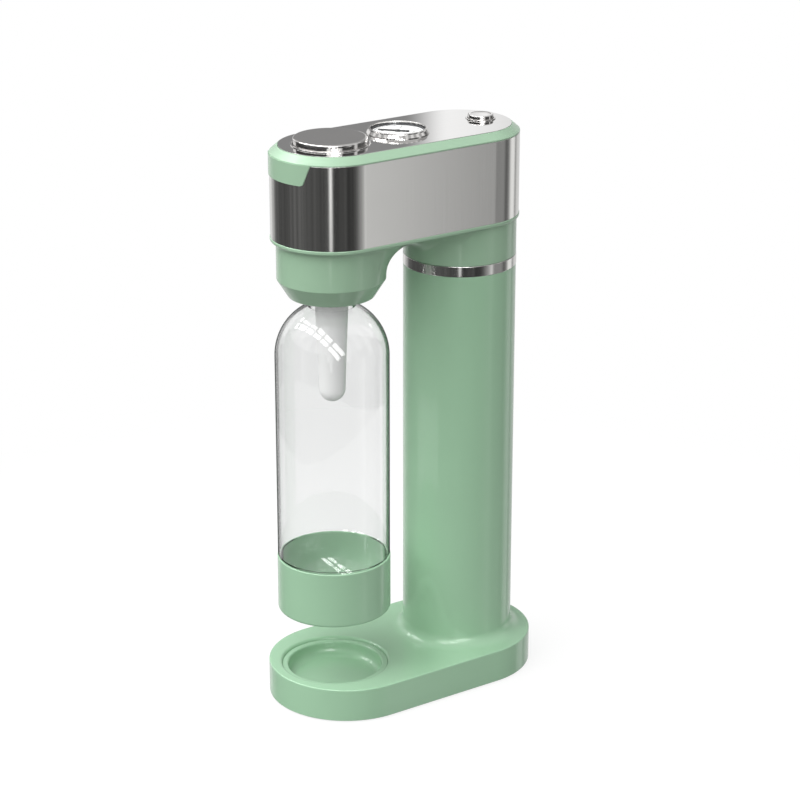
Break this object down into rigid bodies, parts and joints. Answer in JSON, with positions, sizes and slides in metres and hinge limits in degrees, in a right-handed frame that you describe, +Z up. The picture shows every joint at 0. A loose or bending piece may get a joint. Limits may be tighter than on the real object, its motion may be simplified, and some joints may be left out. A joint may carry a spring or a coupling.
{
  "type": "sparkling water maker",
  "caption": "Counter-top sparkling water maker: round-ended base with drip tray, gas column, overhanging head with push button, gauge and release, and a clear bottle hung under it.",
  "frame": {"origin": "middle of the base's outline on the table face, under the rubber feet", "axes": "+Z up, front (bottle and tab) towards -Y, +X to the right seen from the front"},
  "size_m": [0.121, 0.222, 0.4413],
  "materials": {
    "sage_plastic": "gloss sage green",
    "polished_steel": "polished",
    "chrome_trim": "polished",
    "dark_plastic": "fine matte",
    "black_rubber": "matte",
    "bare_steel": "zinc plated",
    "brass": "turned",
    "cylinder_aluminium": "satin",
    "clear_bottle": "clear gloss",
    "clear_lens": "clear gloss",
    "frosted_plastic": "frosted white",
    "dial_white": "printed white",
    "grey_plastic": "fine matte",
    "hose": "satin white"
  },
  "bodies": {
    "frame": {"stand_shell": "sage_plastic", "base_plate": "dark_plastic", "foot_pads": "black_rubber", "base_screws": "bare_steel", "column_ring": "chrome_trim", "head_housing": "sage_plastic", "head_band": "polished_steel", "top_rim": "sage_plastic", "top_plate": "polished_steel", "button_collar": "chrome_trim", "button_spring": "bare_steel", "button_guide": "dark_plastic", "lever_pin": "bare_steel", "lever_bracket": "bare_steel", "bracket_screws": "bare_steel", "push_seal": "black_rubber", "gland_nut": "brass", "gas_head": "brass", "gas_gasket": "black_rubber", "gas_head_screws": "bare_steel", "nozzle_block": "grey_plastic", "block_screws": "bare_steel", "bottle_socket": "dark_plastic", "neck_seal": "black_rubber", "diffuser_tube": "frosted_plastic", "relief_valve": "brass", "gas_hose": "hose", "gauge_hose": "hose", "vent_hose": "hose", "gauge_case": "dark_plastic", "gauge_bezel": "chrome_trim", "gauge_dial": "dial_white", "gauge_lens": "clear_lens", "gauge_movement": "brass", "release_collar": "chrome_trim", "release_spring": "bare_steel", "vent_valve": "brass"},
    "button": {"button_cap": "chrome_trim", "button_stem": "bare_steel", "stem_clip": "bare_steel"},
    "lever": {"press_lever": "bare_steel"},
    "push_rod": {"push_pin": "bare_steel"},
    "cylinder": {"gas_cylinder": "cylinder_aluminium", "cylinder_valve": "brass"},
    "valve_plunger": {"valve_pin": "bare_steel"},
    "hatch": {"gas_hatch": "dark_plastic", "hatch_pad": "black_rubber"},
    "release": {"release_button": "chrome_trim"},
    "needle": {"gauge_needle": "dark_plastic"},
    "bottle": {"bottle_shell": "clear_bottle", "bottle_cup": "sage_plastic"},
    "tray": {"drip_tray": "sage_plastic"}
  },
  "joints": [
    {"name": "button_press", "type": "slide", "parent": "frame", "child": "button", "axis": [0, 0, -1], "range_m": [0, 0.0045], "stiffness_N_per_m": 800, "springref_m": -0.006, "deforming": ["button_spring"]},
    {"name": "lever_tilt", "type": "hinge", "parent": "frame", "child": "lever", "pos_m": [0, 0.084, 0.40185], "axis": [1, 0, 0], "range_deg": [0, 1.8]},
    {"name": "push_pin_slide", "type": "slide", "parent": "frame", "child": "push_rod", "axis": [0, 0, -1], "range_m": [0, 0.00095]},
    {"name": "cylinder_unscrew", "type": "hinge", "parent": "frame", "child": "cylinder", "pos_m": [0, 0.054, 0.2], "axis": [0, 0, -1], "range_deg": [0, 720]},
    {"name": "valve_pin_slide", "type": "slide", "parent": "cylinder", "child": "valve_plunger", "axis": [0, 0, -1], "range_m": [0, 0.00095]},
    {"name": "hatch_turn", "type": "hinge", "parent": "frame", "child": "hatch", "pos_m": [0, 0.054, 0.004], "axis": [0, 0, 1], "range_deg": [0, 40]},
    {"name": "release_press", "type": "slide", "parent": "frame", "child": "release", "axis": [0, 0, -1], "range_m": [0, 0.0025], "stiffness_N_per_m": 400, "springref_m": -0.005, "deforming": ["release_spring"]},
    {"name": "needle_turn", "type": "hinge", "parent": "frame", "child": "needle", "pos_m": [0, -0.00275, 0.437], "axis": [0, 0, -1], "range_deg": [0, 270], "stiffness_Nm_per_rad": 0.0005},
    {"name": "bottle_lower", "type": "slide", "parent": "frame", "child": "bottle", "axis": [0, 0, 1], "range_m": [-0.0457, 0]},
    {"name": "tray_lift", "type": "slide", "parent": "frame", "child": "tray", "axis": [0, 0, 1], "range_m": [0, 0.04]}
  ],
  "couplings": [
    {"joint": "lever_tilt", "follows": "button_press", "rad_per_m": 6.8493},
    {"joint": "push_pin_slide", "follows": "button_press", "ratio": 0.20548},
    {"joint": "valve_pin_slide", "follows": "button_press", "ratio": 0.20548}
  ]
}
